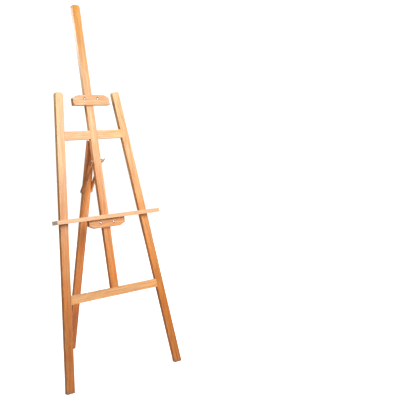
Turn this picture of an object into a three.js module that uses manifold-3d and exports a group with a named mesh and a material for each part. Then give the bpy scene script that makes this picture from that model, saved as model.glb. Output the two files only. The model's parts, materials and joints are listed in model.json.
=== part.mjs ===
// A-frame studio easel in wooden slats: a leaning front panel (two splayed legs, two crossbars
// and a central mast), a rear leg hinged behind the upper crossbar and held open by a pair of
// slotted brace links, and two canvas holders that slide on the mast and clamp with wing nuts.
//
// Millimetres, +Z up, +X to the user's right, -Y towards the user. The origin is on the floor,
// in the middle of the footprint.
import * as THREE from "three";
import { mergeVertices } from "three/addons/utils/BufferGeometryUtils.js";
import Module from "manifold-3d";

const wasm = await Module();
wasm.setup();

// ---------------------------------------------------------------- driving dimensions

const GAP = 0.3; // between pieces that touch
const SLAT_WIDTH = 44;
const SLAT_THICKNESS = 21;

// Front panel. Heights are measured up the slope of the panel, from the floor.
const LEAN = THREE.MathUtils.degToRad(12.7);
const LEG_TOP_HEIGHT = 1500;
const LEG_FOOT_X = 340;
const LEG_TOP_X = 172;
const MAST_TOP_HEIGHT = 1965;
const TOP_ROUNDING = 13;
const LOWER_CROSSBAR_HEIGHT = 449; // its centre line
const UPPER_CROSSBAR_HEIGHT = 1275;

// Rear leg and its butt hinge.
const REAR_LEAN = THREE.MathUtils.degToRad(11.7);
const HINGE_HEIGHT = 1249;
const HINGE_LENGTH = 40;
const LEAF_HEIGHT = 30;
const LEAF_THICKNESS = 1.8;
const KNUCKLE_RADIUS = 3.5;
const KNUCKLE_HALF = 6.6; // half the length of the middle knuckle
const HINGE_PIN_RADIUS = 1.8;
const HINGE_PIN_HEAD = { rim: 0.9, thickness: 1 };
const HINGE_SCREW_X = 12;
const HINGE_SCREW_Y = 21; // from the hinge axis along either leaf
const REAR_LEG_TOP_GAP = 4.5; // from the hinge axis down to the leg's end

// Brace links between mast and rear leg.
const BRACE_MAST_HEIGHT = 1137;
const BRACE_LEG_DISTANCE = 285; // from the hinge axis down the rear leg
const LINK_WIDTH = 20;
const LINK_THICKNESS = 9;
const LINK_SIDE_GAP = 0.4;
const FOLD_RANGE = THREE.MathUtils.degToRad(20);
const SLOT_HALF_WIDTH = 4.9; // the link's slot leaves the bolt room to wander as the leg folds
const BRACE_NUT_TURN = THREE.MathUtils.degToRad(-60); // how far round the nut was left

// Canvas holders.
const PLATE_LENGTH = 220;
const PLATE_CHAMFER_ALONG = 34;
const PLATE_CHAMFER_UP = 15;
const REAR_PLATE_LENGTH = 116;
const REAR_PLATE_WIDTH = 38;
const REAR_PLATE_THICKNESS = 12;
const REAR_PLATE_CORNER = 8; // cut off each corner
const HOLDER_BOLT_X = 40;
// Centre of each holder's plates; the tray is screwed on a little off the lower plates' middle.
const LOWER_HOLDER = { height: 808.5, middle: -6.5 };
const UPPER_HOLDER = { height: 1459.6, middle: 0 };
const TRAY_LENGTH = 630;
const TRAY_DEPTH = 52;
const TRAY_THICKNESS = 20;
const TRAY_SCREW_X = 68;
const LIP_DEPTH = 28;
const LIP_THICKNESS = 10;
const LIP_SCREW_X = 75;

// Fasteners: M6 bolts and countersunk wood screws.
const BOLT_RADIUS = 3;
const BOLT_HEAD_RADIUS = 7;
const BOLT_HEAD_HEIGHT = 3.6;
const BOLT_NECK = 7; // side of the square neck under the head
const BOLT_NECK_DEPTH = 4;
const BOLT_CHAMFER = 0.8;
const BOLT_TAIL = { holder: 5, mast: 4, rearLeg: 3 }; // how far the bolts stand out of their nuts
const WASHER_RADIUS = 7.5;
const WASHER_THICKNESS = 1.2;
const NUT_RADIUS = 5.8;
const NUT_HEIGHT = 5;
const WING_SPAN = 30;
const WING_HUB_HEIGHT = 8;
const WING_HUB_RADIUS = 5.6;
const WING_HUB_TAPER = 1.2;
const WING_THICKNESS = 2.4;
const WING_ROOT = { inside: 2, low: 1.5, high: 7 }; // where a wing leaves the hub
const WING_EAR = { outer: 11, crown: 16.5, inner: 15, width: 5.5 }; // heights round its tip
const WING_SWEEP = { below: 4, belowInset: 3, above: 9, aboveInset: 8, crownInset: 1 };
const FRAME_SCREW = { length: 72, shank: 2.3, head: 4.8, sink: 2 };
const PLATE_SCREW = { length: 46, shank: 2, head: 4, sink: 0.6 };
const LIP_SCREW = { length: 34, shank: 1.8, head: 3.7, sink: 0.6 };
const HINGE_SCREW = { length: 16, shank: 1.3, head: 2.7, sink: 0.1 };
const SCREW_POINT = 3; // length of the point, in shank radii
const SCREW_CROSS = { reach: 0.55, width: 0.12, depth: 0.4 }; // the drive, in head radii

const ROUND_SEGMENTS = 24;
const MARGIN = 1; // how far a cutter stands clear of the face it opens
const OVERLAP = 0.5; // how far joined solids run into each other
const THROUGH = 120; // length of a hole that goes right through
const FLOOR_CUT = 3000; // side of the block that trims the feet to the floor

// Pieces point along this local axis where they are driven or threaded on.
const DRIVE_AXIS = new THREE.Vector3(0, -1, 0);
const RIGHT = new THREE.Vector3(1, 0, 0);
const LEFT = new THREE.Vector3(-1, 0, 0);
const UP = new THREE.Vector3(0, 1, 0);
const DOWN = new THREE.Vector3(0, -1, 0);
const FRONT = new THREE.Vector3(0, 0, 1);
const BACK = new THREE.Vector3(0, 0, -1);

// ---------------------------------------------------------------- materials

function wood(color) {
  return new THREE.MeshStandardMaterial({ color, roughness: 0.55, metalness: 0 });
}

function steel(color = 0xa9abae) {
  return new THREE.MeshStandardMaterial({ color, roughness: 0.35, metalness: 1 });
}

const LEG_WOOD = 0xe0a468;
const BAR_WOOD = 0xe8b27c;
const REAR_WOOD = 0xcf8850;
const HOLDER_WOOD = 0xd99a5e;

// ---------------------------------------------------------------- solids

function toSolid(geometry) {
  const plain = geometry.clone();
  plain.deleteAttribute("normal");
  plain.deleteAttribute("uv");
  const merged = mergeVertices(plain, 1e-4);
  const mesh = new wasm.Mesh({
    numProp: 3,
    vertProperties: new Float32Array(merged.attributes.position.array),
    triVerts: new Uint32Array(merged.index.array),
  });
  return new wasm.Manifold(mesh);
}

function toGeometry(solid) {
  const { numProp, vertProperties, triVerts } = solid.getMesh();
  const positions = new Float32Array((vertProperties.length / numProp) * 3);
  for (let i = 0; i < positions.length / 3; i += 1) {
    for (let k = 0; k < 3; k += 1) positions[i * 3 + k] = vertProperties[i * numProp + k];
  }
  const geometry = new THREE.BufferGeometry();
  geometry.setAttribute("position", new THREE.BufferAttribute(positions, 3));
  geometry.setIndex(new THREE.BufferAttribute(new Uint32Array(triVerts), 1));
  geometry.computeVertexNormals();
  return geometry;
}

function cut(geometry, cutters) {
  return toGeometry(cutters.reduce((solid, cutter) => solid.subtract(toSolid(cutter)), toSolid(geometry)));
}

function join(geometries) {
  return toGeometry(geometries.map(toSolid).reduce((whole, piece) => whole.add(piece)));
}

// A box between two corners.
function block(low, high) {
  const size = high.map((value, axis) => value - low[axis]);
  const middle = high.map((value, axis) => (value + low[axis]) / 2);
  return new THREE.BoxGeometry(...size).translate(...middle);
}

// A cylinder centred on a point, along a direction.
function rod(radius, length, centre, direction) {
  const geometry = new THREE.CylinderGeometry(radius, radius, length, ROUND_SEGMENTS);
  return placed(geometry, centre, direction);
}

// Turns geometry from the drive axis to a direction and moves it to a point.
function placed(geometry, point, direction) {
  const turn = new THREE.Quaternion().setFromUnitVectors(DRIVE_AXIS, direction);
  const matrix = new THREE.Matrix4().compose(point, turn, new THREE.Vector3(1, 1, 1));
  return geometry.clone().applyMatrix4(matrix);
}

function piece(name, geometry, material) {
  const mesh = new THREE.Mesh(geometry, material);
  mesh.name = name;
  return mesh;
}

// A named piece whose own drive axis points along a direction.
function driven(name, geometry, material, point, direction) {
  const mesh = piece(name, geometry, material);
  mesh.position.copy(point);
  mesh.quaternion.setFromUnitVectors(DRIVE_AXIS, direction);
  return mesh;
}

function vec(x, y, z) {
  return new THREE.Vector3(x, y, z);
}

// ---------------------------------------------------------------- fasteners

// Countersunk screw: the origin is on the wood's face and the tip points along the drive axis.
function screwProfile({ length, shank, head, sink }, clearance) {
  const neckEnd = -(sink + (head - shank));
  const top = clearance > 0 ? GAP : -sink;
  return [
    new THREE.Vector2(0, -sink - length - clearance),
    new THREE.Vector2(shank + clearance, -sink - length + SCREW_POINT * shank - clearance),
    new THREE.Vector2(shank + clearance, neckEnd - clearance),
    new THREE.Vector2(head + clearance, -sink - clearance),
    new THREE.Vector2(head + clearance, top),
    new THREE.Vector2(0, top),
  ].filter((point, index, points) => index === 0 || !point.equals(points[index - 1]));
}

function screwHole(size) {
  return new THREE.LatheGeometry(screwProfile(size, GAP), ROUND_SEGMENTS);
}

function screw(size) {
  const body = new THREE.LatheGeometry(screwProfile(size, 0), ROUND_SEGMENTS);
  const reach = size.head * SCREW_CROSS.reach;
  const width = size.head * SCREW_CROSS.width;
  const bottom = -size.sink - size.head * SCREW_CROSS.depth;
  const recess = [
    block([-reach, bottom, -width], [reach, MARGIN, width]),
    block([-width, bottom, -reach], [width, MARGIN, reach]),
  ];
  return cut(body, recess);
}

// Round-head bolt with a square neck: the origin is under the head, the shank along the drive axis.
function bolt(length, neck = BOLT_NECK_DEPTH) {
  const arc = [0, 0.25, 0.5, 0.75, 1].map((t) => {
    const angle = (t * Math.PI) / 2;
    return new THREE.Vector2(BOLT_HEAD_RADIUS * Math.cos(angle), BOLT_HEAD_HEIGHT * Math.sin(angle));
  });
  arc[arc.length - 1].x = 0;
  const profile = [
    new THREE.Vector2(0, -length),
    new THREE.Vector2(BOLT_RADIUS - BOLT_CHAMFER, -length),
    new THREE.Vector2(BOLT_RADIUS, -length + BOLT_CHAMFER),
    new THREE.Vector2(BOLT_RADIUS, 0),
    ...arc,
  ];
  const round = new THREE.LatheGeometry(profile, ROUND_SEGMENTS);
  if (neck === 0) return round;
  const half = BOLT_NECK / 2;
  return join([round, block([-half, -neck, -half], [half, OVERLAP, half])]);
}

function boltHole(centre, direction) {
  return rod(BOLT_RADIUS + GAP, THROUGH, centre, direction);
}

function washer() {
  const inner = BOLT_RADIUS + GAP;
  const profile = [
    new THREE.Vector2(inner, -WASHER_THICKNESS),
    new THREE.Vector2(WASHER_RADIUS, -WASHER_THICKNESS),
    new THREE.Vector2(WASHER_RADIUS, 0),
    new THREE.Vector2(inner, 0),
    new THREE.Vector2(inner, -WASHER_THICKNESS),
  ];
  return new THREE.LatheGeometry(profile, ROUND_SEGMENTS);
}

function hexNut() {
  const body = new THREE.CylinderGeometry(NUT_RADIUS, NUT_RADIUS, NUT_HEIGHT, 6);
  body.translate(0, -NUT_HEIGHT / 2, 0);
  return cut(body, [boltHole(vec(0, 0, 0), DRIVE_AXIS)]);
}

// Wing nut: its bearing face is at the origin and its wings rise along the drive axis.
function wingNut() {
  const top = WING_HUB_RADIUS - WING_HUB_TAPER;
  const hub = new THREE.CylinderGeometry(WING_HUB_RADIUS, top, WING_HUB_HEIGHT, ROUND_SEGMENTS);
  hub.translate(0, -WING_HUB_HEIGHT / 2, 0);
  const reach = WING_SPAN / 2;
  const wing = new THREE.Shape();
  const { below, belowInset, above, aboveInset, crownInset } = WING_SWEEP;
  wing.moveTo(WING_ROOT.inside, -WING_ROOT.low);
  wing.lineTo(WING_HUB_RADIUS, -WING_ROOT.low);
  wing.quadraticCurveTo(reach - belowInset, -below, reach, -WING_EAR.outer);
  wing.quadraticCurveTo(reach - crownInset, -WING_EAR.crown, reach - WING_EAR.width, -WING_EAR.inner);
  wing.quadraticCurveTo(reach - aboveInset, -above, WING_ROOT.inside, -WING_ROOT.high);
  wing.closePath();
  const wings = [1, -1].map((side) => {
    const blade = new THREE.ExtrudeGeometry(wing, {
      depth: WING_THICKNESS,
      bevelEnabled: false,
      curveSegments: 6,
    });
    blade.translate(0, 0, -WING_THICKNESS / 2);
    return side > 0 ? blade : blade.rotateY(Math.PI);
  });
  const whole = join([hub, ...wings]);
  return cut(whole, [boltHole(vec(0, 0, 0), DRIVE_AXIS)]);
}

// ---------------------------------------------------------------- front panel
// Panel coordinates: x to the right, y up the slope, z out of the front face, which is z = 0.

const panel = new THREE.Group();
panel.rotation.x = Math.PI / 2 - LEAN;
panel.updateMatrix();

const LEG_SPLAY = Math.atan2(LEG_FOOT_X - LEG_TOP_X, LEG_TOP_HEIGHT);

// A block under the floor, in a group's own coordinates.
function floorBlock(group) {
  const under = block([-FLOOR_CUT / 2, -FLOOR_CUT / 2, -FLOOR_CUT], [FLOOR_CUT / 2, FLOOR_CUT / 2, 0]);
  return under.applyMatrix4(group.matrix.clone().invert());
}

// An upright slat outline with rounded top corners, centred on x = 0.
function slatOutline(width, bottom, top, rounding) {
  const half = width / 2;
  const outline = new THREE.Shape();
  outline.moveTo(-half, bottom);
  outline.lineTo(half, bottom);
  outline.lineTo(half, top - rounding);
  outline.absarc(half - rounding, top - rounding, rounding, 0, Math.PI / 2, false);
  outline.absarc(-half + rounding, top - rounding, rounding, Math.PI / 2, Math.PI, false);
  outline.closePath();
  return outline;
}

function extrude(outline, depth, back) {
  const options = { depth, bevelEnabled: false, curveSegments: 6 };
  return new THREE.ExtrudeGeometry(outline, options).translate(0, 0, back);
}

// Inner face of a leg at a height, as a distance from the middle.
function legInnerX(height) {
  const centre = LEG_FOOT_X - Math.tan(LEG_SPLAY) * height;
  return centre - SLAT_WIDTH / 2 / Math.cos(LEG_SPLAY);
}

// The screw that holds a crossbar end: where it enters the leg's outer face, and its direction.
function crossbarScrewPlace(side, height) {
  const inwards = vec(-side * Math.cos(LEG_SPLAY), -Math.sin(LEG_SPLAY), 0);
  const inner = vec(side * legInnerX(height), height, -SLAT_THICKNESS / 2);
  return { point: inner.addScaledVector(inwards, -SLAT_WIDTH), direction: inwards };
}

const CROSSBAR_HEIGHTS = { lower: LOWER_CROSSBAR_HEIGHT, upper: UPPER_CROSSBAR_HEIGHT };
const SIDES = { left: -1, right: 1 };

function frontLeg(side) {
  const length = LEG_TOP_HEIGHT / Math.cos(LEG_SPLAY);
  const outline = slatOutline(SLAT_WIDTH, -SLAT_WIDTH, length, TOP_ROUNDING);
  const slat = extrude(outline, SLAT_THICKNESS, -SLAT_THICKNESS);
  slat.rotateZ(side * LEG_SPLAY).translate(side * LEG_FOOT_X, 0, 0);
  const holes = Object.values(CROSSBAR_HEIGHTS).map((height) => {
    const { point, direction } = crossbarScrewPlace(side, height);
    return placed(screwHole(FRAME_SCREW), point, direction);
  });
  return cut(slat, [floorBlock(panel), ...holes]);
}

function crossbar(height, extraCuts) {
  const low = height - SLAT_WIDTH / 2;
  const high = height + SLAT_WIDTH / 2;
  const outline = new THREE.Shape();
  outline.moveTo(-legInnerX(low) + GAP, low);
  outline.lineTo(legInnerX(low) - GAP, low);
  outline.lineTo(legInnerX(high) - GAP, high);
  outline.lineTo(-legInnerX(high) + GAP, high);
  outline.closePath();
  const holes = Object.values(SIDES).map((side) => {
    const { point, direction } = crossbarScrewPlace(side, height);
    return placed(screwHole(FRAME_SCREW), point, direction);
  });
  return cut(extrude(outline, SLAT_THICKNESS, -SLAT_THICKNESS), [...holes, ...extraCuts]);
}

// The mast and the upper crossbar are halved into each other; the mast runs on in front.
const HALVING = SLAT_THICKNESS / 2;

function crossbarHalving() {
  const half = SLAT_WIDTH / 2 + GAP;
  const low = UPPER_CROSSBAR_HEIGHT - SLAT_WIDTH;
  return block([-half, low, -HALVING - GAP / 2], [half, low + 2 * SLAT_WIDTH, MARGIN]);
}

function mastHalving() {
  const low = UPPER_CROSSBAR_HEIGHT - SLAT_WIDTH / 2 - GAP;
  const high = UPPER_CROSSBAR_HEIGHT + SLAT_WIDTH / 2 + GAP;
  return block([-SLAT_WIDTH, low, -SLAT_THICKNESS - MARGIN], [SLAT_WIDTH, high, -HALVING + GAP / 2]);
}

const MAST_FOOT_SCREW_POINT = vec(0, LOWER_CROSSBAR_HEIGHT - SLAT_WIDTH / 2, -SLAT_THICKNESS / 2);
const BRACE_PIVOT_ON_MAST = vec(0, BRACE_MAST_HEIGHT, -SLAT_THICKNESS / 2);

function mast() {
  const foot = LOWER_CROSSBAR_HEIGHT + SLAT_WIDTH / 2 + GAP;
  const outline = slatOutline(SLAT_WIDTH, foot, MAST_TOP_HEIGHT, TOP_ROUNDING);
  return cut(extrude(outline, SLAT_THICKNESS, -SLAT_THICKNESS), [
    mastHalving(),
    placed(screwHole(FRAME_SCREW), MAST_FOOT_SCREW_POINT, UP),
    boltHole(BRACE_PIVOT_ON_MAST, RIGHT),
    ...hingeScrewHoles(FRAME_LEAF),
  ]);
}

// ---------------------------------------------------------------- hinge
// Both leaves are drawn flat, their knuckle on the x axis and their plate rising along y.

const LEAF_FACE = KNUCKLE_RADIUS; // the leaf's mounting face, off the pin's axis
const HINGE_DEPTH = SLAT_THICKNESS + GAP + KNUCKLE_RADIUS; // pin axis behind the front face
const HINGE_AXIS = vec(0, HINGE_HEIGHT, -HINGE_DEPTH);
const KNUCKLE_RELIEF = KNUCKLE_RADIUS + 1;

// Where a leaf's screws enter, and which way they go, in the leaf's parent coordinates.
const FRAME_LEAF = {
  points: [-HINGE_SCREW_X, HINGE_SCREW_X].map((x) =>
    vec(x, HINGE_HEIGHT + HINGE_SCREW_Y, -SLAT_THICKNESS - GAP - LEAF_THICKNESS)),
  direction: FRONT,
};
const LEG_LEAF = {
  points: [-HINGE_SCREW_X, HINGE_SCREW_X].map((x) => vec(x, -HINGE_SCREW_Y, LEAF_FACE)),
  direction: BACK,
};

function hingeScrewHoles({ points, direction }) {
  return points.map((point) => placed(screwHole(HINGE_SCREW), point, direction));
}

function knuckle(low, high) {
  return rod(KNUCKLE_RADIUS, high - low, vec((low + high) / 2, 0, 0), RIGHT);
}

function leafPlate() {
  const half = HINGE_LENGTH / 2;
  return block([-half, 0, LEAF_FACE - LEAF_THICKNESS], [half, LEAF_HEIGHT, LEAF_FACE]);
}

function pinHole() {
  return rod(HINGE_PIN_RADIUS + GAP, THROUGH, vec(0, 0, 0), RIGHT);
}

// The crossbar's leaf carries the two outer knuckles.
function frameLeaf() {
  const half = HINGE_LENGTH / 2;
  const inner = KNUCKLE_HALF + GAP;
  const relief = block(
    [-inner, -KNUCKLE_RADIUS, -KNUCKLE_RADIUS],
    [inner, KNUCKLE_RELIEF, LEAF_FACE + MARGIN],
  );
  const plate = cut(leafPlate(), [relief]);
  const body = join([plate, knuckle(-half, -inner), knuckle(inner, half)]);
  body.translate(0, HINGE_AXIS.y, HINGE_AXIS.z);
  const bore = pinHole().translate(0, HINGE_AXIS.y, HINGE_AXIS.z);
  return cut(body, [bore, ...hingeScrewHoles(FRAME_LEAF)]);
}

// The rear leg's leaf carries the middle knuckle and hangs down the leg.
function legLeaf() {
  const half = HINGE_LENGTH / 2;
  const plate = leafPlate().translate(0, -LEAF_HEIGHT, 0);
  const reliefs = [-1, 1].map((side) => {
    const near = side * KNUCKLE_HALF;
    const far = side * (half + MARGIN);
    return block(
      [Math.min(near, far), -KNUCKLE_RELIEF, -KNUCKLE_RADIUS],
      [Math.max(near, far), KNUCKLE_RADIUS, LEAF_FACE + MARGIN],
    );
  });
  const body = join([cut(plate, reliefs), knuckle(-KNUCKLE_HALF, KNUCKLE_HALF)]);
  return cut(body, [pinHole(), ...hingeScrewHoles(LEG_LEAF)]);
}

function hingePin() {
  const end = HINGE_LENGTH / 2 + GAP;
  const tip = end + HINGE_PIN_HEAD.thickness;
  const head = HINGE_PIN_RADIUS + HINGE_PIN_HEAD.rim;
  const profile = [
    new THREE.Vector2(0, -tip),
    new THREE.Vector2(head, -tip),
    new THREE.Vector2(head, -end),
    new THREE.Vector2(HINGE_PIN_RADIUS, -end),
    new THREE.Vector2(HINGE_PIN_RADIUS, end),
    new THREE.Vector2(head, end),
    new THREE.Vector2(head, tip),
    new THREE.Vector2(0, tip),
  ];
  return new THREE.LatheGeometry(profile, ROUND_SEGMENTS);
}

// ---------------------------------------------------------------- rear leg
// Rear leg coordinates: the origin is on the hinge axis, y runs up the leg, z faces the mast.

const rearLegGroup = new THREE.Group();
rearLegGroup.position.copy(HINGE_AXIS).applyMatrix4(panel.matrix);
rearLegGroup.rotation.x = Math.PI / 2 + REAR_LEAN;
rearLegGroup.updateMatrix();

const REAR_LEG_FRONT = LEAF_FACE - LEAF_THICKNESS - GAP;
const REAR_LEG_BACK = REAR_LEG_FRONT - SLAT_THICKNESS;
const BRACE_PIVOT_ON_LEG = vec(0, -BRACE_LEG_DISTANCE, (REAR_LEG_FRONT + REAR_LEG_BACK) / 2);

function rearLeg() {
  const half = SLAT_WIDTH / 2;
  const slat = block([-half, -LEG_TOP_HEIGHT, REAR_LEG_BACK], [half, -REAR_LEG_TOP_GAP, REAR_LEG_FRONT]);
  return cut(slat, [
    floorBlock(rearLegGroup),
    boltHole(BRACE_PIVOT_ON_LEG, RIGHT),
    ...hingeScrewHoles(LEG_LEAF),
  ]);
}

// Where the back face of the rear leg meets the floor, which is how deep the easel stands.
function standingDepth() {
  const hinge = rearLegGroup.position;
  const down = (hinge.z - REAR_LEG_BACK * Math.sin(REAR_LEAN)) / Math.cos(REAR_LEAN);
  return hinge.y + down * Math.sin(REAR_LEAN) - REAR_LEG_BACK * Math.cos(REAR_LEAN);
}

// ---------------------------------------------------------------- brace links
// Link coordinates: the origin is the pivot on the rear leg, y points at the mast's bolt.

const legPivot = BRACE_PIVOT_ON_LEG.clone().applyMatrix4(rearLegGroup.matrix);
const mastPivot = BRACE_PIVOT_ON_MAST.clone().applyMatrix4(panel.matrix);
const LINK_REACH = legPivot.distanceTo(mastPivot);

const braceGroup = new THREE.Group();
braceGroup.position.copy(legPivot);
braceGroup.rotation.x = Math.atan2(mastPivot.z - legPivot.z, mastPivot.y - legPivot.y);

const LINK_INNER_X = SLAT_WIDTH / 2 + LINK_SIDE_GAP;
const LINK_OUTER_X = LINK_INNER_X + LINK_THICKNESS;
const BRACE_WASHER_X = LINK_OUTER_X + GAP;
const BRACE_HEAD_X = BRACE_WASHER_X + WASHER_THICKNESS + GAP;

// Distance between the two pivots once the leg has folded.
function foldedReach() {
  const flat = (point) => new THREE.Vector2(point.y, point.z);
  const foldedPivot = flat(legPivot).rotateAround(flat(rearLegGroup.position), -FOLD_RANGE);
  return foldedPivot.distanceTo(flat(mastPivot));
}

// The upper end of the slot is the stop that holds the leg open.
function slotOutline() {
  const high = LINK_REACH + BOLT_RADIUS + GAP - SLOT_HALF_WIDTH;
  const slot = new THREE.Path();
  slot.absarc(0, high, SLOT_HALF_WIDTH, 0, Math.PI, false);
  slot.absarc(0, foldedReach(), SLOT_HALF_WIDTH, Math.PI, 2 * Math.PI, false);
  slot.closePath();
  return slot;
}

function braceLink(rightFace) {
  const half = LINK_WIDTH / 2;
  const outline = new THREE.Shape();
  outline.absarc(0, 0, half, Math.PI, 2 * Math.PI, false);
  outline.absarc(0, LINK_REACH, half, 0, Math.PI, false);
  outline.closePath();
  const pivotHole = new THREE.Path();
  pivotHole.absarc(0, 0, BOLT_RADIUS + GAP, 0, 2 * Math.PI, true);
  outline.holes.push(pivotHole, slotOutline());
  const options = { depth: LINK_THICKNESS, bevelEnabled: false, curveSegments: 12 };
  const link = new THREE.ExtrudeGeometry(outline, options).rotateY(-Math.PI / 2);
  return link.translate(rightFace, 0, 0);
}

// ---------------------------------------------------------------- canvas holders

const PLATE_BACK = GAP;
const PLATE_FRONT = PLATE_BACK + SLAT_THICKNESS;
const HOLDER_SCREW_Z = PLATE_BACK + SLAT_THICKNESS / 2;
const REAR_PLATE_FRONT = -SLAT_THICKNESS - GAP;
const REAR_PLATE_BACK = REAR_PLATE_FRONT - REAR_PLATE_THICKNESS;
const HOLDER_WASHER_Z = REAR_PLATE_BACK - GAP;
const HOLDER_NUT_Z = HOLDER_WASHER_Z - WASHER_THICKNESS - GAP;

// A clamp plate with two corners cut off, above (side 1) or below (side -1) its centre line.
function frontPlate({ height, middle }, side, screwHoles) {
  const left = middle - PLATE_LENGTH / 2;
  const right = middle + PLATE_LENGTH / 2;
  const plain = height - (side * SLAT_WIDTH) / 2;
  const cornered = height + (side * SLAT_WIDTH) / 2;
  const outline = new THREE.Shape();
  outline.moveTo(left, plain);
  outline.lineTo(right, plain);
  outline.lineTo(right, cornered - side * PLATE_CHAMFER_UP);
  outline.lineTo(right - PLATE_CHAMFER_ALONG, cornered);
  outline.lineTo(left + PLATE_CHAMFER_ALONG, cornered);
  outline.lineTo(left, cornered - side * PLATE_CHAMFER_UP);
  outline.closePath();
  const cutters = [...screwHoles];
  for (const x of [middle - HOLDER_BOLT_X, middle + HOLDER_BOLT_X]) {
    const neck = BOLT_NECK / 2 + GAP;
    cutters.push(boltHole(vec(x, height, 0), BACK));
    cutters.push(block(
      [x - neck, height - neck, PLATE_FRONT - BOLT_NECK_DEPTH],
      [x + neck, height + neck, PLATE_FRONT + MARGIN],
    ));
  }
  return cut(extrude(outline, SLAT_THICKNESS, PLATE_BACK), cutters);
}

function rearPlate({ height, middle }) {
  const left = middle - REAR_PLATE_LENGTH / 2;
  const right = middle + REAR_PLATE_LENGTH / 2;
  const low = height - REAR_PLATE_WIDTH / 2;
  const high = height + REAR_PLATE_WIDTH / 2;
  const corner = REAR_PLATE_CORNER;
  const outline = new THREE.Shape();
  outline.moveTo(left + corner, low);
  outline.lineTo(right - corner, low);
  outline.lineTo(right, low + corner);
  outline.lineTo(right, high - corner);
  outline.lineTo(right - corner, high);
  outline.lineTo(left + corner, high);
  outline.lineTo(left, high - corner);
  outline.lineTo(left, low + corner);
  outline.closePath();
  const holes = [middle - HOLDER_BOLT_X, middle + HOLDER_BOLT_X].map((x) =>
    boltHole(vec(x, height, REAR_PLATE_BACK), BACK));
  return cut(extrude(outline, REAR_PLATE_THICKNESS, REAR_PLATE_BACK), holes);
}

const TRAY_BOTTOM = LOWER_HOLDER.height + SLAT_WIDTH / 2 + GAP;
const LIP_TOP = UPPER_HOLDER.height - SLAT_WIDTH / 2 - GAP;
const LIP_BOTTOM = LIP_TOP - LIP_THICKNESS;

function trayScrewPoint(side) {
  return vec(LOWER_HOLDER.middle + side * TRAY_SCREW_X, TRAY_BOTTOM + TRAY_THICKNESS, HOLDER_SCREW_Z);
}

function lipScrewPoint(side) {
  return vec(side * LIP_SCREW_X, LIP_BOTTOM, HOLDER_SCREW_Z);
}

function trayScrewHoles() {
  return [-1, 1].map((side) => placed(screwHole(PLATE_SCREW), trayScrewPoint(side), DOWN));
}

function lipScrewHoles() {
  return [-1, 1].map((side) => placed(screwHole(LIP_SCREW), lipScrewPoint(side), UP));
}

function tray() {
  const half = TRAY_LENGTH / 2;
  const top = TRAY_BOTTOM + TRAY_THICKNESS;
  const slat = block([-half, TRAY_BOTTOM, PLATE_BACK], [half, top, PLATE_BACK + TRAY_DEPTH]);
  return cut(slat, trayScrewHoles());
}

function lip() {
  const half = PLATE_LENGTH / 2;
  const strip = block([-half, LIP_BOTTOM, PLATE_BACK], [half, LIP_TOP, PLATE_BACK + LIP_DEPTH]);
  return cut(strip, lipScrewHoles());
}

// Bolts, washers and wing nuts that clamp a holder's two plates on the mast.
function holderFasteners(holder, { height, middle }) {
  const length = PLATE_FRONT + GAP - HOLDER_NUT_Z + WING_HUB_HEIGHT + BOLT_TAIL.holder;
  return Object.entries(SIDES).flatMap(([side, sign]) => {
    const at = (z) => vec(middle + sign * HOLDER_BOLT_X, height, z);
    return [
      driven(`${holder}_holder_bolt_${side}`, bolt(length), steel(), at(PLATE_FRONT + GAP), BACK),
      driven(`${holder}_holder_washer_${side}`, washer(), steel(), at(HOLDER_WASHER_Z), BACK),
      driven(`${holder}_holder_wing_nut_${side}`, wingNut(), steel(), at(HOLDER_NUT_Z), BACK),
    ];
  });
}

// ---------------------------------------------------------------- assembly

for (const [side, sign] of Object.entries(SIDES)) {
  panel.add(piece(`${side}_leg`, frontLeg(sign), wood(LEG_WOOD)));
  for (const [level, height] of Object.entries(CROSSBAR_HEIGHTS)) {
    const { point, direction } = crossbarScrewPlace(sign, height);
    panel.add(driven(`${level}_crossbar_screw_${side}`, screw(FRAME_SCREW), steel(), point, direction));
  }
}

const mastFootScrewHole = placed(screwHole(FRAME_SCREW), MAST_FOOT_SCREW_POINT, UP);
const upperCrossbarCuts = [crossbarHalving(), ...hingeScrewHoles(FRAME_LEAF)];
panel.add(
  piece("lower_crossbar", crossbar(LOWER_CROSSBAR_HEIGHT, [mastFootScrewHole]), wood(BAR_WOOD)),
  piece("upper_crossbar", crossbar(UPPER_CROSSBAR_HEIGHT, upperCrossbarCuts), wood(BAR_WOOD)),
  piece("mast", mast(), wood(BAR_WOOD)),
  driven("mast_foot_screw", screw(FRAME_SCREW), steel(), MAST_FOOT_SCREW_POINT, UP),
  piece("hinge_leaf_crossbar", frameLeaf(), steel()),
  driven("hinge_pin", hingePin(), steel(), HINGE_AXIS, RIGHT),
);
FRAME_LEAF.points.forEach((point, index) => {
  const name = `hinge_screw_crossbar_${Object.keys(SIDES)[index]}`;
  panel.add(driven(name, screw(HINGE_SCREW), steel(), point, FRAME_LEAF.direction));
});

// The bolt through the mast, with its wing nut on the right.
const mastBoltAt = (x) => vec(x, BRACE_PIVOT_ON_MAST.y, BRACE_PIVOT_ON_MAST.z);
const mastBoltLength = 2 * BRACE_HEAD_X + WING_HUB_HEIGHT + BOLT_TAIL.mast;
const braceWingNut = driven("brace_wing_nut", wingNut(), steel(), mastBoltAt(BRACE_HEAD_X), RIGHT);
braceWingNut.rotateY(BRACE_NUT_TURN);
panel.add(
  driven("brace_bolt_mast", bolt(mastBoltLength, 0), steel(), mastBoltAt(-BRACE_HEAD_X), RIGHT),
  driven("brace_washer_mast_left", washer(), steel(), mastBoltAt(-BRACE_WASHER_X), LEFT),
  driven("brace_washer_mast_right", washer(), steel(), mastBoltAt(BRACE_WASHER_X), RIGHT),
  braceWingNut,
);

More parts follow.
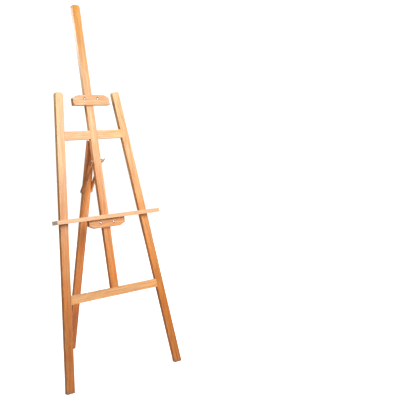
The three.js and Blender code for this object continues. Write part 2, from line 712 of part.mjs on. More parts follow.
panel.add(
  piece("canvas_tray", tray(), wood(HOLDER_WOOD)),
  piece("lower_holder_front_plate", frontPlate(LOWER_HOLDER, -1, trayScrewHoles()), wood(HOLDER_WOOD)),
  piece("lower_holder_rear_plate", rearPlate(LOWER_HOLDER), wood(HOLDER_WOOD)),
  ...holderFasteners("lower", LOWER_HOLDER),
  piece("upper_holder_front_plate", frontPlate(UPPER_HOLDER, 1, lipScrewHoles()), wood(HOLDER_WOOD)),
  piece("upper_holder_lip", lip(), wood(HOLDER_WOOD)),
  piece("upper_holder_rear_plate", rearPlate(UPPER_HOLDER), wood(HOLDER_WOOD)),
  ...holderFasteners("upper", UPPER_HOLDER),
);
for (const [side, sign] of Object.entries(SIDES)) {
  panel.add(
    driven(`tray_screw_${side}`, screw(PLATE_SCREW), steel(), trayScrewPoint(sign), DOWN),
    driven(`lip_screw_${side}`, screw(LIP_SCREW), steel(), lipScrewPoint(sign), UP),
  );
}

const legBoltAt = (x) => vec(x, BRACE_PIVOT_ON_LEG.y, BRACE_PIVOT_ON_LEG.z);
const legBoltLength = 2 * BRACE_HEAD_X + NUT_HEIGHT + BOLT_TAIL.rearLeg;
rearLegGroup.add(
  piece("rear_leg", rearLeg(), wood(REAR_WOOD)),
  piece("hinge_leaf_rear_leg", legLeaf(), steel()),
  driven("brace_bolt_rear_leg", bolt(legBoltLength, 0), steel(), legBoltAt(-BRACE_HEAD_X), RIGHT),
  driven("brace_washer_rear_leg_left", washer(), steel(), legBoltAt(-BRACE_WASHER_X), LEFT),
  driven("brace_washer_rear_leg_right", washer(), steel(), legBoltAt(BRACE_WASHER_X), RIGHT),
  driven("brace_nut_rear_leg", hexNut(), steel(), legBoltAt(BRACE_HEAD_X), RIGHT),
);
LEG_LEAF.points.forEach((point, index) => {
  const name = `hinge_screw_rear_leg_${Object.keys(SIDES)[index]}`;
  rearLegGroup.add(driven(name, screw(HINGE_SCREW), steel(), point, LEG_LEAF.direction));
});

braceGroup.add(
  piece("brace_link_left", braceLink(-LINK_INNER_X), wood(REAR_WOOD)),
  piece("brace_link_right", braceLink(LINK_OUTER_X), wood(REAR_WOOD)),
);

const easel = new THREE.Group();
easel.add(panel, rearLegGroup, braceGroup);
easel.position.y = -standingDepth() / 2;

export default easel;
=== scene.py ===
"""Looks of a wooden studio easel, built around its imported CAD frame.

Each wooden piece is a copy of its CAD node with eased edges and a beech material that runs along
its own grain. Each fastener is a finer mesh at the place of its CAD node. Units are metres.
"""
import json
import math

import bmesh
import bpy
import numpy as np
from mathutils import Matrix, Vector


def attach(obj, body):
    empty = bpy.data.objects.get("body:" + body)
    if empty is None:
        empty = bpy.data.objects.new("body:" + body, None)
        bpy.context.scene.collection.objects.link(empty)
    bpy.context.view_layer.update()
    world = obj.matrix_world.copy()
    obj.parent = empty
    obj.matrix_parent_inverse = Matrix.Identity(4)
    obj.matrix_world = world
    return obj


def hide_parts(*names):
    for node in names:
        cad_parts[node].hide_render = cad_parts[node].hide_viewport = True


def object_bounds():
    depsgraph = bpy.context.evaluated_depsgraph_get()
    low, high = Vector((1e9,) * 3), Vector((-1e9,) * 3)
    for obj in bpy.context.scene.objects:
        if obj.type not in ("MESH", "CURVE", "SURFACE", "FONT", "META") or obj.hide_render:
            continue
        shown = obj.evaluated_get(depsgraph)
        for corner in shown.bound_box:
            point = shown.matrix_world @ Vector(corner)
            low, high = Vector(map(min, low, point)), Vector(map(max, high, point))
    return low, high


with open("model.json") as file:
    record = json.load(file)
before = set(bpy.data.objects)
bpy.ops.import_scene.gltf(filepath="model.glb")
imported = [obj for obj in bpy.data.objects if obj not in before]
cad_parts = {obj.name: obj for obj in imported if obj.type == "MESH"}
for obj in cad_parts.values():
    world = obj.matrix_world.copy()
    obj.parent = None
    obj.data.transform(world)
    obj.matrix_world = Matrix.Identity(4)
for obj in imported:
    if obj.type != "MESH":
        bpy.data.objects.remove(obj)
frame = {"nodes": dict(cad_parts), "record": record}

cad_low, cad_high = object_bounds()
MM = 0.001

BODY_OF = {
    node: body for body, nodes in frame["record"]["behaviour"]["bodies"].items() for node in nodes
}


# ---------------------------------------------------------------- node trees


class Shader:
    """A material and short ways to add nodes to it."""

    def __init__(self, name):
        self.material = bpy.data.materials.new(name)
        self.material.use_nodes = True
        self.tree = self.material.node_tree
        self.tree.nodes.clear()

    def add(self, kind, inputs=None, **settings):
        node = self.tree.nodes.new("ShaderNode" + kind)
        for key, value in settings.items():
            setattr(node, key, value)
        for key, value in (inputs or {}).items():
            self.feed(node.inputs[key], value)
        return node

    def feed(self, socket, value):
        if isinstance(value, bpy.types.NodeSocket):
            self.tree.links.new(value, socket)
        else:
            socket.default_value = value

    def math(self, operation, *values, clamp=False):
        node = self.add("Math", dict(enumerate(values)), operation=operation, use_clamp=clamp)
        return node.outputs[0]

    def vector(self, operation, *values):
        node = self.add("VectorMath", dict(enumerate(values)), operation=operation)
        return node.outputs["Value" if operation == "LENGTH" else "Vector"]

    def ramp(self, value, low, high, to_low=0.0, to_high=1.0):
        """A smooth step from one value to another."""
        inputs = {0: value, 1: low, 2: high, 3: to_low, 4: to_high}
        return self.add("MapRange", inputs, interpolation_type="SMOOTHSTEP").outputs[0]

    def mix(self, factor, first, second, blend="MIX"):
        inputs = {0: factor, 6: first, 7: second}
        return self.add("Mix", inputs, data_type="RGBA", blend_type=blend).outputs[2]

    def noise(self, vector, scale, detail=2.0, roughness=0.5):
        inputs = {"Vector": vector, "Scale": scale, "Detail": detail, "Roughness": roughness}
        return self.add("TexNoise", inputs).outputs[0]

    def piece(self, name, output="Fac"):
        """A value that the piece itself carries."""
        return self.add("Attribute", attribute_type="OBJECT", attribute_name=name).outputs[output]

    def surface(self, **inputs):
        named = {key.replace("_", " "): value for key, value in inputs.items()}
        shader = self.add("BsdfPrincipled", named)
        output = self.add("OutputMaterial")
        self.tree.links.new(shader.outputs[0], output.inputs["Surface"])
        return self.material


def colour(red, green, blue):
    """A colour given as it looks on screen, 0 to 255."""
    shares = (red / 255, green / 255, blue / 255)
    linear = [c / 12.92 if c <= 10 / 255 else ((c + 0.055) / 1.055) ** 2.4 for c in shares]
    return (*linear, 1.0)


# ---------------------------------------------------------------- beech

RING_SPACING = 3.6 * MM
RING_WANDER = 0.030
RING_SHARPNESS = 2.2

# Each tint is multiplied over the wood. The three tints by height are painted shade: the wood darker and
# warmer towards the floor, where the light falls off, and deeper orange at the top, where the light is
# dimmer above its brightest pool. Heights are above the floor, from full to none, but the top tint's are
# from none to full.
COOL_STREAK = (0.94, 1.01, 1.14, 1.0)
WARM_STREAK = (1.07, 0.96, 0.78, 1.0)
# Painted shade: darker and warmer towards the floor, where the light falls off.
FALLOFF_SHADE_HEIGHTS = (0.30, 1.45)
FALLOFF_SHADE_TINT = (0.94, 0.56, 0.17, 1.0)
# Painted shade: the lowest part darker and cooler still, where the light is weakest.
FLOOR_SHADE_HEIGHTS = (0.0, 0.9)
FLOOR_SHADE_TINT = (0.75, 0.70, 0.90, 1.0)
# Painted shade: the top of the easel deeper orange, where the light is dimmer above its brightest pool.
TOP_SHADE_HEIGHTS = (1.45, 1.92)
TOP_SHADE_TINT = (1.0, 0.84, 0.42, 1.0)

SCUFF_HEIGHTS = (0.003, 0.022)
SCUFF_COLOUR = colour(146, 116, 92)
PALE_END_COLOUR = colour(230, 214, 200)
WASH_COLOUR = colour(232, 208, 178)
WORN_COLOUR = colour(247, 214, 172)
WORN_REACH = (3.4 * MM, 0.8 * MM)  # from an arris: where the rubbing starts, and where it is full


def beech(name, pale, deep, dark):
    """Oiled beech: pale and deep are the early and late wood, dark the flecks and end grain.

    A piece carries seed, pith, taper, tone, amber, wash, pale_end and half_size: see wooden().
    """
    g = Shader(name)
    slat = g.add("Attribute", attribute_type="GEOMETRY", attribute_name="slat").outputs["Vector"]
    end = g.add("Attribute", attribute_type="GEOMETRY", attribute_name="end_grain").outputs["Fac"]
    seed = g.piece("seed")
    shift = g.vector("SCALE", (0.71, 0.33, 0.47))
    g.feed(shift.node.inputs["Scale"], seed)
    log = g.vector("ADD", slat, shift)

    def grain(along, across, detail=2.0, roughness=0.5):
        """Noise drawn out along the slat, in cells per metre along it and across it."""
        return g.noise(g.vector("MULTIPLY", log, (along, across, across)), 1.0, detail, roughness)

    # Growth rings round a pith that lies outside the slat and wanders along it.
    from_pith = g.vector("SUBTRACT", slat, g.piece("pith", "Vector"))
    radius = g.vector("LENGTH", g.vector("MULTIPLY", from_pith, (0.0, 1.0, 1.0)))
    along = g.add("SeparateXYZ", {0: slat}).outputs[0]
    radius = g.math("ADD", radius, g.math("MULTIPLY", along, g.piece("taper")))
    radius = g.math("MULTIPLY_ADD", grain(1.6, 7.0), RING_WANDER, radius)
    phase = g.math("MULTIPLY", radius, 2 * math.pi / RING_SPACING)
    ring = g.math("MULTIPLY_ADD", g.math("SINE", phase), 0.5, 0.5)
    ring = g.math("POWER", ring, RING_SHARPNESS)

    # Fibres, ray flecks and slow changes of tone.
    fibre = grain(14.0, 620.0, 3.0, 0.6)
    streak = grain(3.0, 150.0)
    tone = grain(2.4, 22.0)
    mottle = grain(17.0, 120.0, roughness=0.6)
    lens = g.vector("MULTIPLY", log, (190.0, 900.0, 900.0))
    cells = g.add("TexVoronoi", {"Vector": lens, "Scale": 1.0, "Randomness": 1.0}).outputs["Distance"]
    fleck = g.math("MULTIPLY", g.ramp(cells, 0.34, 0.16), g.ramp(streak, 0.35, 0.6))

    # The wood is tinted by height, as it looks in the photo: painted shade, darker and warmer towards the
    # floor where the light falls off, and deeper orange at the top where the light is dimmer.
    height = g.add("SeparateXYZ", {0: g.add("TexCoord").outputs["Object"]}).outputs[2]
    falloff_shade = g.math("MULTIPLY", g.ramp(height, *FALLOFF_SHADE_HEIGHTS, 1.0, 0.0), g.piece("shade_by_height"))
    # Painted shade near the floor, where the light is weakest.
    low = g.math("MULTIPLY", g.ramp(height, *FLOOR_SHADE_HEIGHTS, 1.0, 0.0), g.piece("shade_by_height"))
    # Painted shade at the top, where the light is dimmer.
    top_shade = g.ramp(height, *TOP_SHADE_HEIGHTS)

    shade = g.math("MULTIPLY_ADD", ring, 0.32, -0.26)
    for noise, start, stop, share in (
        (fibre, 0.30, 0.72, 0.24),
        (streak, 0.34, 0.66, 0.42),
        (tone, 0.30, 0.70, 0.30),
        (mottle, 0.34, 0.66, 0.34),
    ):
        shade = g.math("MULTIPLY_ADD", g.ramp(noise, start, stop), share, shade)
    shade = g.math("ADD", shade, g.piece("tone"), clamp=True)
    timber = g.mix(shade, pale, deep)
    blush = g.ramp(grain(5.0, 95.0), 0.36, 0.64)
    timber = g.mix(1.0, timber, g.mix(blush, COOL_STREAK, WARM_STREAK), "MULTIPLY")
    timber = g.mix(g.math("MULTIPLY", fleck, 0.45), timber, dark)
    for share, tint in ((falloff_shade, FALLOFF_SHADE_TINT), (low, FLOOR_SHADE_TINT), (top_shade, TOP_SHADE_TINT)):
        timber = g.mix(share, timber, g.mix(1.0, timber, tint, "MULTIPLY"))

    # Sawn ends are darker and show pores; an end with pale_end set is made paler, as the tray's is in the
    # photo.
    pores = g.ramp(grain(30.0, 1500.0, 1.0), 0.42, 0.62)
    cut_end = g.mix(g.math("MULTIPLY_ADD", ring, 0.4, 0.15), g.mix(0.35, timber, dark), dark)
    cut_end = g.mix(g.math("MULTIPLY", pores, 0.25), cut_end, dark)
    cut_end = g.mix(g.piece("pale_end"), cut_end, PALE_END_COLOUR)
    timber = g.mix(g.piece("wash"), timber, WASH_COLOUR)
    timber = g.mix(end, timber, cut_end)

    # The arrises, where two faces meet, are rubbed paler and drier.
    room = g.vector("SUBTRACT", g.piece("half_size", "Vector"), g.vector("ABSOLUTE", slat))
    room_u, room_v, room_w = g.add("SeparateXYZ", {0: room}).outputs
    to_long_arris = g.math("ADD", room_v, room_w)
    to_end_arris = g.math("ADD", room_u, g.math("MINIMUM", room_v, room_w))
    nearest = g.math("MINIMUM", to_long_arris, to_end_arris)
    patchy = g.ramp(grain(26.0, 90.0, 3.0), 0.42, 0.66)
    worn = g.math("MULTIPLY", g.ramp(nearest, *WORN_REACH), patchy)
    timber = g.mix(g.math("MULTIPLY", worn, 0.35), timber, WORN_COLOUR)

    # The feet are scuffed grey by the floor.
    near_floor = g.ramp(height, *SCUFF_HEIGHTS, 0.65, 0.0)
    scuffed = g.math("MULTIPLY", near_floor, g.ramp(mottle, 0.30, 0.55, 0.5, 1.0))
    timber = g.mix(scuffed, timber, SCUFF_COLOUR)

    relief = g.math("MULTIPLY", fibre, 0.6)
    relief = g.math("MULTIPLY_ADD", ring, 0.25, relief)
    relief = g.math("MULTIPLY_ADD", fleck, -0.35, relief)
    bump = g.add("Bump", {"Strength": 0.35, "Distance": 0.25 * MM, "Height": relief}).outputs[0]
    rough = g.math("MULTIPLY_ADD", fibre, 0.16, 0.36)
    rough = g.math("MULTIPLY_ADD", worn, 0.14, rough)
    rough = g.math("MULTIPLY_ADD", end, 0.16, rough)
    return g.surface(Base_Color=timber, Roughness=rough, Normal=bump)


WOODS = {
    "leg_wood": beech("leg_beech", colour(243, 199, 146), colour(203, 145, 86), colour(150, 92, 52)),
    "mast_wood": beech("mast_beech", colour(245, 196, 140), colour(203, 140, 80), colour(152, 92, 48)),
    "rear_wood": beech("rear_beech", colour(250, 194, 132), colour(212, 136, 78), colour(134, 72, 34)),
    "holder_wood": beech("holder_beech", colour(246, 202, 150), colour(203, 144, 92), colour(142, 86, 50)),
}


# ---------------------------------------------------------------- steel


def zinc_steel():
    g = Shader("zinc_plated_steel")
    place = g.add("TexCoord").outputs["Object"]
    cloud = g.noise(place, 90.0, 3.0)
    grain = g.noise(place, 1400.0, 2.0)
    tint = g.mix(g.ramp(cloud, 0.35, 0.65), colour(196, 197, 199), colour(172, 173, 170))
    spots = g.ramp(g.noise(place, 420.0, 2.0), 0.60, 0.74)
    tint = g.mix(g.math("MULTIPLY", spots, 0.4), tint, colour(126, 120, 110))
    rough = g.math("MULTIPLY_ADD", grain, 0.16, 0.20)
    rough = g.math("MULTIPLY_ADD", spots, 0.18, rough)
    bump = g.add("Bump", {"Strength": 0.12, "Distance": 0.05 * MM, "Height": grain}).outputs[0]
    return g.surface(Base_Color=tint, Roughness=rough, Normal=bump, Metallic=1.0)


STEEL = zinc_steel()


# ---------------------------------------------------------------- mesh help

WELD = 1e-6
FLAT = math.radians(0.5)
SHARP = math.radians(30)


def clean_copy(node):
    """The CAD node's mesh as a bmesh, with its corners welded and its flat faces whole."""
    bm = bmesh.new()
    bm.from_mesh(frame["nodes"][node].data)
    bmesh.ops.remove_doubles(bm, verts=bm.verts, dist=WELD)
    bmesh.ops.dissolve_limit(bm, angle_limit=FLAT, verts=bm.verts, edges=bm.edges)
    bm.normal_update()
    return bm


def add_object(name, mesh):
    obj = bpy.data.objects.new(name, mesh)
    bpy.context.scene.collection.objects.link(obj)
    return obj


def applied(obj):
    """Turns what the modifiers make into the object's own mesh."""
    bpy.context.view_layer.update()
    depsgraph = bpy.context.evaluated_depsgraph_get()
    mesh = bpy.data.meshes.new_from_object(obj.evaluated_get(depsgraph), depsgraph=depsgraph)
    obj.modifiers.clear()
    obj.data = mesh
    mesh.name = obj.name
    return mesh


def smooth(mesh, angle=SHARP):
    mesh.polygons.foreach_set("use_smooth", [True] * len(mesh.polygons))
    mesh.set_sharp_from_angle(angle=angle)


def stand_for(obj, node):
    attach(obj, BODY_OF[node])
    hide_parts(node)


# ---------------------------------------------------------------- wooden pieces

EASE = 1.7 * MM  # radius of the planed slats' edges
CRISP = 0.3 * MM  # edges that were sawn or drilled after planing


def grain_axes(bm):
    """Along the grain, across the slat and through it, from the longest edge and largest face."""
    longest = max(bm.edges, key=lambda edge: edge.calc_length())
    along = (longest.verts[1].co - longest.verts[0].co).normalized()
    if along.z < -0.5 or along.x < -0.5:
        along = -along
    through = max(bm.faces, key=lambda face: face.calc_area()).normal.copy()
    through = (through - through.dot(along) * along).normalized()
    across = through.cross(along)
    return Matrix((along, across, through))


def ease_edges(bm, axes, ease, end_ease):
    """Marks how round each edge becomes; an inner edge, off the hull, stays crisp."""
    corners = np.array([v.co for v in bm.verts])
    weight = bm.edges.layers.float.new("bevel_weight_edge")
    for edge in bm.edges:
        if len(edge.link_faces) != 2 or edge.calc_face_angle() < SHARP:
            continue
        normals = [face.normal for face in edge.link_faces]
        outward = normals[0] + normals[1]
        middle = (edge.verts[0].co + edge.verts[1].co) / 2
        if np.max(corners @ np.array(outward)) > middle.dot(outward) + WELD * 10:
            edge[weight] = CRISP / EASE if edge.is_convex else 0.0
        elif max(abs(normal.dot(axes[0])) for normal in normals) > 0.8:
            edge[weight] = end_ease / EASE
        else:
            edge[weight] = ease / EASE


def slat_facts(mesh, axes):
    """Gives each corner its place in the slat and each face its share of end grain."""
    count = len(mesh.vertices)
    places = np.empty(count * 3)
    mesh.vertices.foreach_get("co", places)
    local = places.reshape(-1, 3) @ np.array(axes).T
    middle = (local.min(0) + local.max(0)) / 2
    slat = mesh.attributes.new("slat", "FLOAT_VECTOR", "POINT")
    slat.data.foreach_set("vector", (local - middle).astype(np.float32).ravel())
    normals = np.empty(len(mesh.polygons) * 3)
    mesh.polygons.foreach_get("normal", normals)
    facing = np.abs(normals.reshape(-1, 3) @ np.array(axes[0]))
    end = mesh.attributes.new("end_grain", "FLOAT", "FACE")
    end.data.foreach_set("value", np.clip((facing - 0.55) / 0.35, 0, 1).astype(np.float32))
    return (local.max(0) - local.min(0)) / 2


SEED_TURN = 2.399  # the golden angle: neighbouring seeds put their piths far apart
PITH_NEAR = 0.055
PITH_SPREAD = 0.05


def wooden(
    node, slot, seed, tone=0.0, taper=0.008,
    ease=EASE, end_ease=1.0 * MM, shade_by_height=1.0, wash=0.0, pale_end=0.0,
):
    """One beech slat in place of a CAD node.

    seed picks its stretch of grain, tone darkens it, taper tilts its rings, amber is its share of the
    painted shade by height, darker and warmer towards the floor, and wash and pale_end make its faces and
    its ends paler.
    """
    bm = clean_copy(node)
    axes = grain_axes(bm)
    ease_edges(bm, axes, ease, end_ease)
    mesh = bpy.data.meshes.new(node + "_beech")
    bm.to_mesh(mesh)
    bm.free()
    obj = add_object(node + "_beech", mesh)
    smooth(mesh)
    bevel = obj.modifiers.new("ease", "BEVEL")
    bevel.limit_method = "WEIGHT"
    bevel.width = EASE
    bevel.segments = 4
    bevel.miter_outer = "MITER_ARC"
    bevel.use_clamp_overlap = True
    weighted = obj.modifiers.new("normals", "WEIGHTED_NORMAL")
    weighted.keep_sharp = True
    mesh = applied(obj)
    obj["half_size"] = [float(value) for value in slat_facts(mesh, axes)]
    facts = {
        "seed": seed, "tone": tone, "taper": taper, "shade_by_height": shade_by_height, "wash": wash, "pale_end": pale_end,
    }
    for name, value in facts.items():
        obj[name] = float(value)
    turn = seed * SEED_TURN
    reach = PITH_NEAR + PITH_SPREAD * math.sin(seed * 5.1) ** 2
    obj["pith"] = [0.0, reach * math.cos(turn), reach * math.sin(turn)]
    mesh.materials.clear()
    mesh.materials.append(WOODS[slot])
    stand_for(obj, node)


JOINTED = 0.35 * MM  # ends that butt against another piece
wooden("left_leg", "leg_wood", 1, 0.00, 0.010, end_ease=1.4 * MM, shade_by_height=0.93)
wooden("right_leg", "leg_wood", 2, 0.05, -0.012, end_ease=1.4 * MM)
wooden("mast", "mast_wood", 3, 0.05, 0.009, end_ease=1.4 * MM)
wooden("upper_crossbar", "mast_wood", 4, -0.05, 0.03, end_ease=JOINTED)
wooden("lower_crossbar", "mast_wood", 5, -0.25, 0.09, end_ease=JOINTED, shade_by_height=0.30)
wooden("rear_leg", "rear_wood", 6, 0.00, -0.008, shade_by_height=0.8)
wooden("brace_link_left", "rear_wood", 7, 0.15, 0.02, ease=1.2 * MM)
wooden("brace_link_right", "rear_wood", 8, 0.05, -0.02, ease=1.2 * MM)
wooden("canvas_tray", "holder_wood", 9, -0.20, 0.012, wash=0.3, pale_end=0.85)
wooden("lower_holder_front_plate", "holder_wood", 10, 0.16, 0.05, shade_by_height=0.7)
wooden("lower_holder_rear_plate", "holder_wood", 11, 0.10, 0.03)
wooden("upper_holder_front_plate", "holder_wood", 12, 0.26, -0.05)
wooden("upper_holder_lip", "holder_wood", 13, 0.10, 0.03, ease=1.3 * MM)
wooden("upper_holder_rear_plate", "holder_wood", 14, 0.05, -0.03)


# ---------------------------------------------------------------- fasteners

AROUND = 40  # faces round a turned piece
AROUND_NUT = 48
STEEL_CREASE = math.radians(35)


def axle(node):
    """The axis of a round CAD node: its two ends, widest end first.

    Known fault: it goes through the middle of the box round the piece. On a tilted piece with one
    wide end that is off the axis, by 1.6 mm on the holder bolts.
    """
    data = frame["nodes"][node].data
    points = np.unique(np.round(np.array([v.co for v in data.vertices]), 6), axis=0)
    centre = (points.min(0) + points.max(0)) / 2
    spread, ways = np.linalg.eigh(np.cov((points - points.mean(0)).T))
    odd = 0 if spread[2] - spread[1] < spread[1] - spread[0] else 2
    way = ways[:, odd]
    reach = (points - centre) @ way
    off_axis = np.linalg.norm(points - centre - np.outer(reach, way), axis=1)
    top_half = off_axis[reach > np.median([reach.min(), reach.max()])].max()
    low_half = off_axis[reach <= np.median([reach.min(), reach.max()])].max()
    if low_half > top_half:
        way = -way
        reach = -reach
    return Vector(centre + way * reach.max()), Vector(centre + way * reach.min())


def turned(bm, profile, around=AROUND):
    """Adds a lathed skin to bm from (radius, height) points; the ends on the axis close it."""
    rings = []
    for radius, height in profile:
        if radius < 1e-9:
            rings.append([bm.verts.new((0, 0, height))])
            continue
        step = 2 * math.pi / around
        rings.append([
            bm.verts.new((radius * math.cos(i * step), radius * math.sin(i * step), height))
            for i in range(around)
        ])
    for low, high in zip(rings, rings[1:]):
        for i in range(around):
            j = (i + 1) % around
            corners = [low[i % len(low)], low[j % len(low)], high[j % len(high)], high[i % len(high)]]
            bm.faces.new(list(dict.fromkeys(corners)))
    return rings


def farthest_arm(node, origin, way):
    """From a piece's axis out to its farthest corner."""
    arms = [vertex.co - origin for vertex in frame["nodes"][node].data.vertices]
    arms = [arm - arm.dot(way) * way for arm in arms]
    return max(arms, key=lambda arm: arm.length)


def arc(centre_radius, centre_height, size, start, stop, steps=5):
    """Points of a round corner, angles in degrees from the outward direction."""
    found = []
    for i in range(steps + 1):
        angle = math.radians(start + (stop - start) * i / steps)
        found.append((centre_radius + size * math.cos(angle), centre_height + size * math.sin(angle)))
    return found


def finish_fastener(bm, node, origin, outward, toward=None):
    """Puts a mesh drawn about its own +Z axis on a CAD node's place, its +X axis along toward."""
    bmesh.ops.recalc_face_normals(bm, faces=bm.faces)
    z = outward.normalized()
    x = toward or (Vector((1, 0, 0)) if abs(z.x) < 0.9 else Vector((0, 1, 0)))
    x = (x - x.dot(z) * z).normalized()
    turn = Matrix((x, z.cross(x), z)).transposed().to_4x4()
    bm.transform(Matrix.Translation(origin) @ turn)
    steel_piece(bm, node)


def steel_piece(bm, node):
    mesh = bpy.data.meshes.new(node + "_steel")
    bm.to_mesh(mesh)
    bm.free()
    smooth(mesh, STEEL_CREASE)
    mesh.materials.append(STEEL)
    obj = add_object(node + "_steel", mesh)
    stand_for(obj, node)
    return obj


BOLT_RADIUS = 3 * MM
BOLT_PITCH = 1 * MM
HEAD_RADIUS = 7 * MM
HEAD_HEIGHT = 3.6 * MM
HEAD_RIM = 0.14  # share of the head's height that is its upright rim
NECK = 7 * MM
NECK_DEPTH = 4 * MM
THREAD_LENGTH = 18 * MM
THREAD_DEPTH = 0.3 * BOLT_PITCH
TIP_CHAMFER = 0.6 * MM
AROUND_BOLT = 24
STEPS_PER_TURN = 6


def thread_rings(bm, top, bottom):
    """A helical thread between two heights, closed at its lower end."""
    count = int((top - bottom) / BOLT_PITCH * STEPS_PER_TURN)
    rings = []
    for k in range(count + 1):
        height = top - (top - bottom) * k / count
        fade = min(1.0, k / STEPS_PER_TURN, (count - k) / STEPS_PER_TURN)
        ring = []
        for i in range(AROUND_BOLT):
            phase = (height / BOLT_PITCH - i / AROUND_BOLT) % 1.0
            r = BOLT_RADIUS - THREAD_DEPTH * fade * abs(2 * phase - 1)
            if k == count:
                r -= TIP_CHAMFER
            angle = 2 * math.pi * i / AROUND_BOLT
            ring.append(bm.verts.new((r * math.cos(angle), r * math.sin(angle), height)))
        rings.append(ring)
    for upper, lower in zip(rings, rings[1:]):
        for i in range(AROUND_BOLT):
            j = (i + 1) % AROUND_BOLT
            bm.faces.new((upper[i], upper[j], lower[j], lower[i]))
    bm.faces.new(rings[-1][::-1])
    return rings[0]


def bolt(node, square_neck):
    head, tip = axle(node)
    outward = (head - tip).normalized()
    seat = head - outward * HEAD_HEIGHT
    length = (head - tip).length - HEAD_HEIGHT
    bm = bmesh.new()
    dome = [
        (HEAD_RADIUS * math.sin(t), HEAD_HEIGHT * (HEAD_RIM + (1 - HEAD_RIM) * math.cos(t)))
        for t in np.linspace(0, math.pi / 2, 10)
    ]
    dome[0] = (0, HEAD_HEIGHT)
    profile = [*dome, (HEAD_RADIUS, 0.1 * MM), (HEAD_RADIUS - 0.2 * MM, 0), (BOLT_RADIUS, 0)]
    profile.append((BOLT_RADIUS, -length + THREAD_LENGTH))
    rings = turned(bm, profile, AROUND_BOLT)
    thread = thread_rings(bm, -length + THREAD_LENGTH, -length)
    for upper, lower in zip(rings[-1], thread):
        bmesh.ops.weld_verts(bm, targetmap={upper: lower})
    if square_neck:
        box = bmesh.ops.create_cube(bm, size=1.0)["verts"]
        bmesh.ops.scale(bm, vec=(NECK, NECK, NECK_DEPTH), verts=box)
        bmesh.ops.translate(bm, vec=(0, 0, -NECK_DEPTH / 2), verts=box)
    finish_fastener(bm, node, seat, outward)


for node in ("brace_bolt_mast", "brace_bolt_rear_leg"):
    bolt(node, square_neck=False)
for holder in ("upper", "lower"):
    for side in ("left", "right"):
        bolt(f"{holder}_holder_bolt_{side}", square_neck=True)


BORE = BOLT_RADIUS + 0.15 * MM


def washer(node):
    upper, lower = axle(node)
    outward = (upper - lower).normalized()
    edge = 0.3 * MM
    high = (upper - lower).length - edge
    outer = farthest_arm(node, lower, outward).length - edge
    inner = BORE + edge
    profile = [
        *arc(outer, edge, edge, -90, 0),
        *arc(outer, high, edge, 0, 90),
        *arc(inner, high, edge, 90, 180),
        *arc(inner, edge, edge, 180, 270),
    ]
    bm = bmesh.new()
    turned(bm, [*profile, profile[0]])
    bmesh.ops.remove_doubles(bm, verts=bm.verts, dist=WELD)
    finish_fastener(bm, node, lower, outward)


def hex_nut(node):
    """A hexagon nut whose corners are chamfered by a 30 degree cone."""
    upper, lower = axle(node)
    outward = (upper - lower).normalized()
    height = (upper - lower).length
    corner = farthest_arm(node, lower, outward)
    flat = corner.length * math.cos(math.radians(30))
    circle = 0.97 * flat
    lead = 0.5 * MM
    bm = bmesh.new()
    rings = []
    for i in range(AROUND_NUT):
        angle = 2 * math.pi * i / AROUND_NUT
        side = flat / math.cos(angle % math.radians(60) - math.radians(30))
        drop = (side - circle) * math.tan(math.radians(30))
        section = [
            (BORE, lead), (BORE + lead, 0), (circle, 0), (side, drop),
            (side, height - drop), (circle, height), (BORE + lead, height), (BORE, height - lead),
        ]
        rings.append([bm.verts.new((r * math.cos(angle), r * math.sin(angle), z)) for r, z in section])
    for near, far in zip(rings, rings[1:] + rings[:1]):
        for k in range(len(near)):
            m = (k + 1) % len(near)
            bm.faces.new((near[k], far[k], far[m], near[m]))
    finish_fastener(bm, node, lower, outward, corner)


CAST_VOXEL = 0.3 * MM
CAST_SMOOTHING = 5
CAST_FACES_KEPT = 0.35
CAST_CREASE = math.radians(60)
BROKEN_CORNER = 0.15 * MM


def cast(node):
    """A casting: the CAD piece with its corners and its joins flowed round."""
    obj = steel_piece(clean_copy(node), node)
    remesh = obj.modifiers.new("remesh", "REMESH")
    remesh.mode = "VOXEL"
    remesh.voxel_size = CAST_VOXEL
    relax = obj.modifiers.new("relax", "SMOOTH")
    relax.iterations = CAST_SMOOTHING
    thin = obj.modifiers.new("thin", "DECIMATE")
    thin.ratio = CAST_FACES_KEPT
    mesh = applied(obj)
    smooth(mesh, CAST_CREASE)
    mesh.materials.clear()
    mesh.materials.append(STEEL)


def softened(node):
    """The CAD piece with its corners just broken."""
    obj = steel_piece(clean_copy(node), node)
    bevel = obj.modifiers.new("break", "BEVEL")
    bevel.limit_method = "ANGLE"
    bevel.angle_limit = STEEL_CREASE
    bevel.width = BROKEN_CORNER
    bevel.segments = 2
    weighted = obj.modifiers.new("normals", "WEIGHTED_NORMAL")
    weighted.keep_sharp = True
    mesh = applied(obj)
    mesh.materials.clear()
    mesh.materials.append(STEEL)


for node in frame["nodes"]:
    if "washer" in node:
        washer(node)
    elif "wing_nut" in node:
        cast(node)
    elif "screw" in node or node.startswith("hinge"):
        softened(node)
hex_nut("brace_nut_rear_leg")


# ---------------------------------------------------------------- floor, light, camera

FLOOR_RADIUS = 14.0
FLOOR_GLOW = 0.84  # lifts the floor to white, but for faint shadows near the feet
FLOOR_GLOW_REACH = (0.5, 1.6)


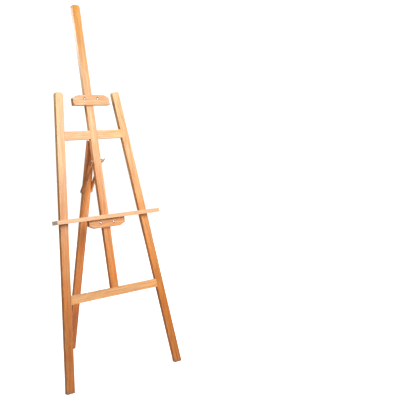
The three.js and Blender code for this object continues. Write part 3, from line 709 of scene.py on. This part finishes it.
def pale_floor():
    bm = bmesh.new()
    bmesh.ops.create_circle(bm, cap_ends=True, segments=96, radius=FLOOR_RADIUS)
    mesh = bpy.data.meshes.new("floor")
    bm.to_mesh(mesh)
    bm.free()
    g = Shader("pale_floor")
    cloud = g.noise(g.add("TexCoord").outputs["Object"], 1.2, 2.0)
    tint = g.mix(cloud, colour(250, 250, 250), colour(246, 246, 247))
    away = g.vector("LENGTH", g.add("TexCoord").outputs["Object"])
    glow = g.ramp(away, *FLOOR_GLOW_REACH, FLOOR_GLOW, 1.0)
    glow = g.math("MULTIPLY", g.add("LightPath").outputs["Is Camera Ray"], glow)
    white = {"Emission Color": (1, 1, 1, 1), "Emission Strength": glow}
    mesh.materials.append(g.surface(Base_Color=tint, Roughness=0.9, **white))
    floor = add_object("floor", mesh)
    floor.location.z = cad_low.z


SPOT_RADIUS = 0.1


def aim_light(data, place, target, power):
    data.energy = power
    light = bpy.data.objects.new(data.name, data)
    light.location = place
    light.rotation_euler = (Vector(target) - Vector(place)).to_track_quat("-Z", "Y").to_euler()
    bpy.context.scene.collection.objects.link(light)


def area_light(name, place, target, size, power):
    """A round soft light, size metres across, of so many watts."""
    data = bpy.data.lights.new(name, "AREA")
    data.shape = "DISK"
    data.size = size
    aim_light(data, place, target, power)


def spot_light(name, place, target, cone, power, tint):
    """A narrow light with a soft edge, cone degrees wide."""
    data = bpy.data.lights.new(name, "SPOT")
    data.spot_size = math.radians(cone)
    data.spot_blend = 1.0
    data.color = tint
    data.shadow_soft_size = SPOT_RADIUS
    aim_light(data, place, target, power)


WORLD_LIGHT = 0.07
WORLD_SEEN = 1.15


def white_world():
    """White to the camera, and a dimmer white as light."""
    world = bpy.data.worlds.new("studio")
    bpy.context.scene.world = world
    world.use_nodes = True
    tree = world.node_tree
    background = tree.nodes["Background"]
    background.inputs["Color"].default_value = (1, 1, 1, 1)
    seen = tree.nodes.new("ShaderNodeLightPath").outputs["Is Camera Ray"]
    strength = tree.nodes.new("ShaderNodeMapRange")
    strength.inputs["To Min"].default_value = WORLD_LIGHT
    strength.inputs["To Max"].default_value = WORLD_SEEN
    tree.links.new(seen, strength.inputs["Value"])
    tree.links.new(strength.outputs[0], background.inputs["Strength"])


# The camera that took the photo, solved from the edges of the slats in it.
EYE = Vector((-2.14335, -3.30961, 1.48378))
HEADING = math.radians(41.081)  # to the right of +Y
PITCH = math.radians(-8.522)
ROLL = math.radians(0.164)
LENS = 66.94
SENSOR = 36.0


def photo_camera():
    data = bpy.data.cameras.new("camera")
    data.lens = LENS
    data.sensor_width = SENSOR
    data.clip_end = 100
    camera = bpy.data.objects.new("camera", data)
    ahead = Vector((
        math.sin(HEADING) * math.cos(PITCH),
        math.cos(HEADING) * math.cos(PITCH),
        math.sin(PITCH),
    ))
    level = Vector((math.cos(HEADING), -math.sin(HEADING), 0))
    above = level.cross(ahead)
    right = level * math.cos(ROLL) + above * math.sin(ROLL)
    up = above * math.cos(ROLL) - level * math.sin(ROLL)
    turn = Matrix((right, up, -ahead)).transposed().to_4x4()
    camera.matrix_world = Matrix.Translation(EYE) @ turn
    bpy.context.scene.collection.objects.link(camera)
    bpy.context.scene.camera = camera


pale_floor()
white_world()
area_light("key", (0.6, -2.0, 1.8), (0, 0, 1.0), 0.9, 44.5)
area_light("top", (0.7, -1.3, 2.1), (0, 0, 1.1), 0.4, 5)
area_light("left", (-3.0, -0.8, 1.8), (0, 0, 1.1), 1.0, 5.5)
area_light("near_left", (-1.5, -0.5, 2.2), (0, 0, 1.25), 0.6, 12.5)
area_light("back", (1.6, 3.0, 2.2), (0, 0, 1.0), 1.5, 45)
spot_light("sheen", (-0.97, 1.62, 1.90), (0, 0.1, 1.74), 24, 92, (0.9, 0.98, 1.0))
spot_light("rear_rim", (-0.7, 1.2, 1.2), (-0.02, 0.08, 1.18), 12, 22, (1.0, 0.50, 0.36))
photo_camera()
bpy.context.scene.view_settings.view_transform = "Standard"
